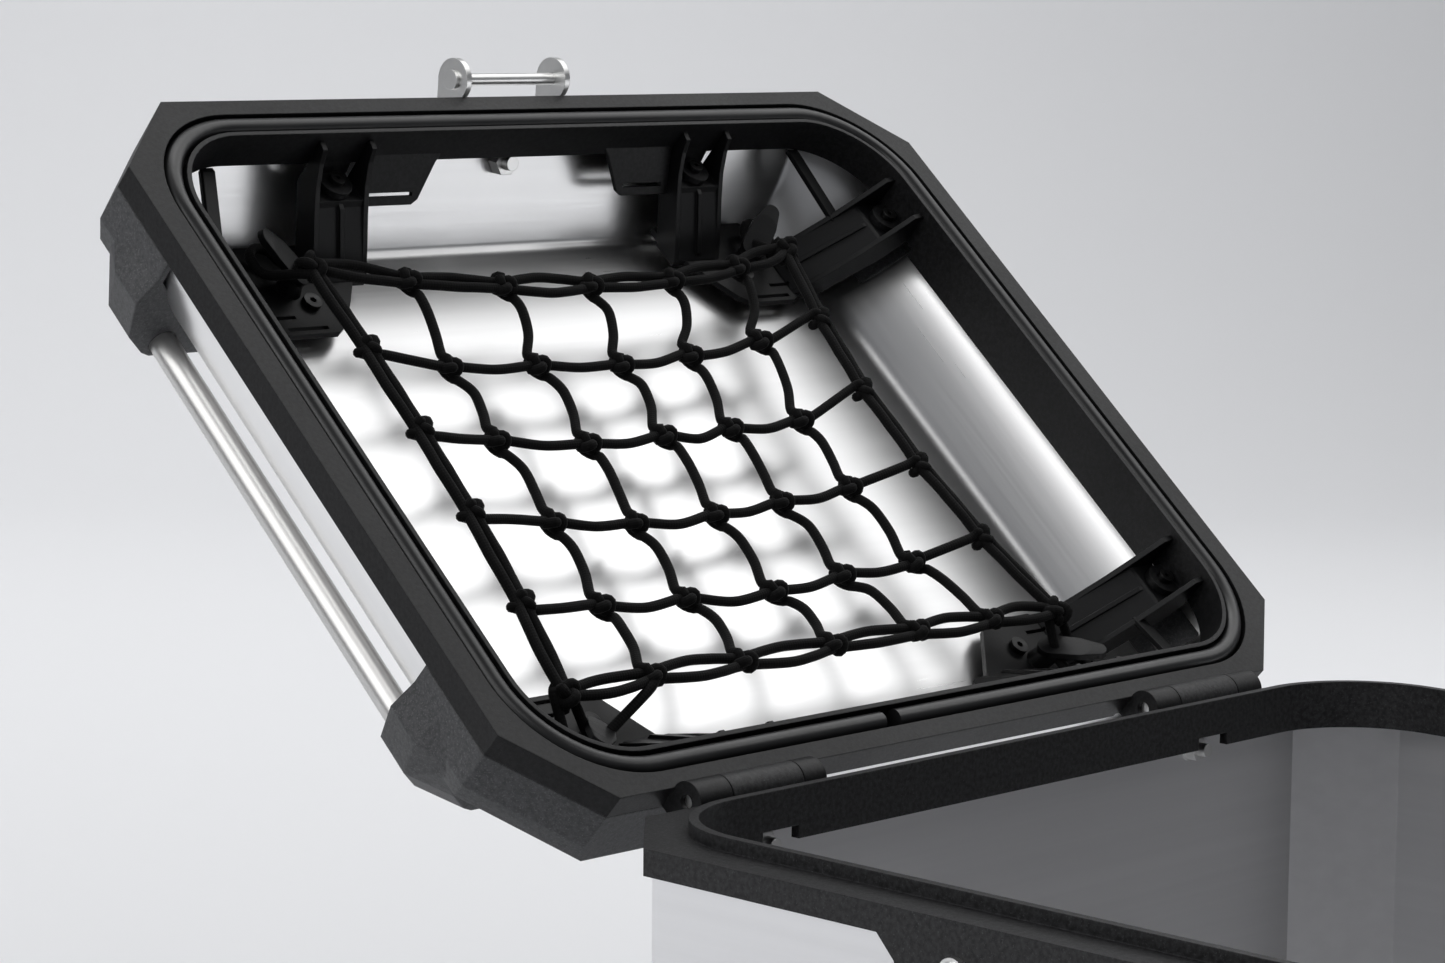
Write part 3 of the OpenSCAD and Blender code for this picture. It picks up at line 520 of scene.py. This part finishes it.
def uv_of(i, j):
    return 2 * i / (COLS - 1) - 1, 2 * j / (ROWS - 1) - 1


def make_net():
    bm = bmesh.new()
    uv = bm.loops.layers.uv.new("cord")
    knot = {}
    for i in range(COLS):
        for j in range(ROWS):
            q = 1.0 if 0 < i < COLS - 1 and 0 < j < ROWS - 1 else 0.4
            stray = Vector((rng.uniform(-2, 2), rng.uniform(-2, 2), rng.uniform(-0.6, 0.6)))
            knot[i, j] = net_point(*uv_of(i, j)) + stray * q

    def lay(points):
        tube(bm, uv, [lid_point(*p) for p in smooth_path(points, 1.6)], CORD / 1000)

    def frame_at(i, j, turn=0.0):
        """Along the row, along the column, and towards the open side, at a knot."""
        a = (knot[min(i + 1, COLS - 1), j] - knot[max(i - 1, 0), j]).normalized()
        b = (knot[i, min(j + 1, ROWS - 1)] - knot[i, max(j - 1, 0)]).normalized()
        n = a.cross(b).normalized()
        if n.z > 0:
            n = -n
        b = (b - n * b.dot(n)).normalized()
        a = (b.cross(n)).normalized() * (1 if b.cross(n).dot(a) > 0 else -1)
        c, s = math.cos(turn), math.sin(turn)
        return a * c + b * s, b * c - a * s, n

    def overhand(centre, ax, ay, az, size, lead_in, lead_out):
        """Points of an overhand knot: in from -ay, out towards +ay."""
        def at(x, y, z):
            return centre + ax * x + ay * y + az * z
        pts = [at(-1.3 * size, -3.9 * size, 0.4)] if lead_in else [at(0.6 * size, -1.6 * size, -1.2 * size)]
        for k in range(15):
            t = math.pi + 0.6 + (2 * math.pi - 1.2) * k / 14
            x, y, z = math.sin(t) + 2 * math.sin(2 * t), math.cos(t) - 2 * math.cos(2 * t), -math.sin(3 * t)
            pts.append(at(-x * size, y * size, 1.35 * z * size + 0.6))
        if lead_out:
            for x, y, z in ((2.0, -3.0, -0.4), (1.2, -3.7, -1.7), (0.2, -2.2, -2.6),
                            (0.6, 0.6, -2.6), (1.6, 3.0, -1.8), (2.0, 4.6, -0.6)):
                pts.append(at(x * size, y * size, z * size))
        else:
            for x, y, z in ((1.9, -2.8, -0.4), (1.0, -2.6, -1.8)):
                pts.append(at(x * size, y * size, z * size))
        return pts

    # rows run straight through their knots and end in a knot round each side border
    for j in range(1, ROWS - 1):
        pts = []
        for i in range(COLS):
            ax, ay, az = frame_at(i, j)
            if i == 0:
                pts += overhand(knot[i, j] + ax * 1.5, ay, ax, az, 1.22, False, True)
            elif i == COLS - 1:
                pts += overhand(knot[i, j] - ax * 0.8, ay, ax, az, 1.22, True, False)
            else:
                mid = 0.5 * (knot[i - 1, j] + knot[i, j])
                pts.append(mid + Vector((0, rng.uniform(1.2, 3.0), rng.uniform(0, 0.8))))
                pts += [knot[i, j] - ax * 4, knot[i, j], knot[i, j] + ax * 4]
        lay(pts)
    # columns tie an overhand knot round each row and bow out between the knots
    for i in range(1, COLS - 1):
        pts = []
        for j in range(ROWS):
            ax, ay, az = frame_at(i, j, rng.uniform(-0.35, 0.25))
            size = 1.34 if j in (0, ROWS - 1) else rng.uniform(1.2, 1.34)
            if j:
                mid = 0.5 * (knot[i, j - 1] + knot[i, j])
                span = knot[i, j] - knot[i, j - 1]
                out = rng.uniform(1.2, 4.0)
                pts += [mid - span * 0.16 + ax * (out + 1.0), mid + span * 0.12 + ax * out * 0.7]
            pts += overhand(knot[i, j], ax, ay, az, size, j > 0, j < ROWS - 1)
        lay(pts)
    # the border is two cords side by side that part between the knots
    sides = ([(i, 0) for i in range(COLS)], [(COLS - 1, j) for j in range(ROWS)],
             [(i, ROWS - 1) for i in range(COLS)], [(0, j) for j in range(ROWS)])
    for run in sides:
        for strand in (-1, 1):
            pts = []
            for k, key in enumerate(run):
                p = knot[key]
                q = knot[run[k + 1]] if k + 1 < len(run) else None
                d = (knot[run[min(k + 1, len(run) - 1)]] - knot[run[max(k - 1, 0)]]).normalized()
                across = d.cross(Vector((0, 0, 1))).normalized()
                end = 0.55 if k in (0, len(run) - 1) else 1.0
                pts.append(p + across * strand * 1.75 * end)
                if q is not None:
                    d = (q - p).normalized()
                    across = d.cross(Vector((0, 0, 1))).normalized()
                    wide = rng.uniform(0.2, 1.5) if run[0][0] == run[-1][0] else rng.uniform(0.6, 3.2)
                    for t, w in ((0.3, 0.75), (0.5, 1.0), (0.72, 0.7)):
                        apart = across * strand * (CORD + wide * w) + Vector((0, 0, 0.8 * strand))
                        pts.append(p.lerp(q, t) + apart)
            lay(pts)
    # a loop from each corner over the thumb of the bracket's hook
    for i in (0, COLS - 1):
        for j in (0, ROWS - 1):
            sx, sy = (-1 if i == 0 else 1), (-1 if j == 0 else 1)
            p = knot[i, j]
            hook = Vector((sx * 130.5, sy * 118.5, 40.0))
            d = Vector((hook.x - p.x, hook.y - p.y, 0))
            if d.length < 1:
                d = Vector((sx, sy, 0))
            d.normalize()
            w = Vector((-d.y, d.x, 0))
            lift = Vector((0, 0, 2))
            out = [p - d * 4 + w * 2.5, p + w * 4.6 + lift, hook - d * 5 + w * 6.3, hook + d * 3.2 + w * 5.2]
            home = [hook + d * 3.2 - w * 5.2, hook - d * 5 - w * 6.3, p - w * 4.6 + lift, p - d * 4 - w * 2.5]
            lay(out + [hook + d * 6.4] + home)
            ax, ay, az = frame_at(i, j, 0.8 * sx * sy)
            lay(overhand(p, ax, ay, az, 1.55, False, False))
            lay(overhand(p + az * -2, ay, ax, az, 1.35, False, False))
    # a short cord from the border back to the rear left bracket
    p = knot[1, ROWS - 1]
    lay([p, p + Vector((-4, 5, -1)), Vector((-118, 112, 38.5)), Vector((-126, 117, 40.0)),
         Vector((-132, 122, 39.0))])
    o = new_object("net_cords", bm, CORD_MAT, "lid")
    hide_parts("cargo_net")


make_seal()
make_lid_skin()
make_net()


# ---------------------------------------------------------------- studio
AWAY = Vector((-back.x, -back.y, 0)).normalized()
CENTRE = Vector((0.0, 0.2, 0.36))


def studio_material(name, left, darker_right_painted_shade, rough):
    m = Nodes(name)
    v = m.coords()
    sep = m.add("SeparateXYZ")
    m.link(v, sep.inputs["Vector"])
    # the colour runs from the lighter left to the darker right across the view: a painted light falloff on
    # the floor and backdrop
    side = m.math("MULTIPLY", sep.outputs["X"], right.x)
    side = m.math("ADD", side, m.math("MULTIPLY", sep.outputs["Y"], right.y))
    col = m.mix(m.remap(side, -1.2, 1.2, 0.0, 1.0), left, darker_right_painted_shade)
    cloud = m.remap(m.noise(v, 1.3, 2.0, 0.5), 0.3, 0.7, 0.0, 0.03)
    m.set(Base_Color=m.mix(cloud, col, (0.8, 0.8, 0.8)), Roughness=rough)
    m.b.inputs["Specular IOR Level"].default_value = 0.1
    return m.mat


def sweep_floor():
    """Floor that curves up into a backdrop, along the line of sight."""
    start, radius, steps = 2.6, 1.2, 12
    turns = [k * math.pi / 2 / steps for k in range(steps + 1)]
    bend = [(start + radius * math.sin(a), radius - radius * math.cos(a)) for a in turns]
    prof = [(-4.0, 0.0)] + bend + [(3.8, 5.0)]
    bm = bmesh.new()
    half_width = 7.0
    edges = [[bm.verts.new(AWAY * d + right * side + Vector((0, 0, z))) for d, z in prof]
             for side in (-half_width, half_width)]
    for i in range(len(prof) - 1):
        bm.faces.new((edges[0][i], edges[1][i], edges[1][i + 1], edges[0][i + 1]))
    me = bpy.data.meshes.new("studio_floor")
    bm.to_mesh(me)
    bm.free()
    o = bpy.data.objects.new("studio_floor", me)
    scene.collection.objects.link(o)
    me.shade_smooth()
    me.materials.append(studio_material("pale_floor_painted_light_falloff", (0.80, 0.805, 0.82), (0.70, 0.705, 0.72), 0.9))


def area(name, pos, target, w, h, power, spread=180):
    d = bpy.data.lights.new(name, "AREA")
    d.shape = "RECTANGLE"
    d.size, d.size_y = w, h
    d.energy = power
    d.spread = math.radians(spread)
    o = bpy.data.objects.new(name, d)
    scene.collection.objects.link(o)
    o.location = pos
    o.rotation_mode = "QUATERNION"
    o.rotation_quaternion = (Vector(target) - Vector(pos)).to_track_quat("-Z", "Y")
    return o


sweep_floor()
world = bpy.data.worlds.new("studio")
scene.world = world
world.use_nodes = True
world.node_tree.nodes["Background"].inputs["Color"].default_value = (0.93, 0.95, 1.0, 1)
world.node_tree.nodes["Background"].inputs["Strength"].default_value = 0.16

UP = Vector((0, 0, 1))
# what the lid's inner top mirrors, above and to the right
area("lid_box", CENTRE + Vector((1.0, -0.05, 1.05)) * 1.5, CENTRE, 2.0, 2.0, 9.3)
# low on the left, for the caps
area("left_box", CENTRE + Vector((-0.86, 0.12, 0.42)) * 2.0, CENTRE, 1.8, 0.9, 10)
# a strip higher on the left, for the band in the roll of the right bevel
area("left_strip", CENTRE + Vector((-0.62, -0.2, 0.70)) * 2.0, CENTRE, 1.9, 0.46, 7.0)
# overhead, towards the right
area("top_fill", CENTRE + Vector((1.5, 0.1, 2.1)), CENTRE, 2.2, 2.2, 12)
# backdrop, from above and behind the object, and the floor that the side walls and the front bevel mirror
area("back_box", CENTRE + AWAY * 1.5 - right * 0.8 + UP * 2.2, CENTRE + AWAY * 2.6 - UP * 0.3,
     2.6, 1.4, 28, 130)
area("left_floor", Vector((-2.3, 2.3, 1.7)), Vector((-2.3, 2.5, 0)), 2.4, 2.4, 40, 140)
area("front_floor", Vector((1.5, -1.5, 1.5)), Vector((1.6, -1.7, 0)), 2.2, 2.2, 41, 140)

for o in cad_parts.values():
    o.data.shade_smooth()
    o.data.set_sharp_from_angle(angle=math.radians(30))
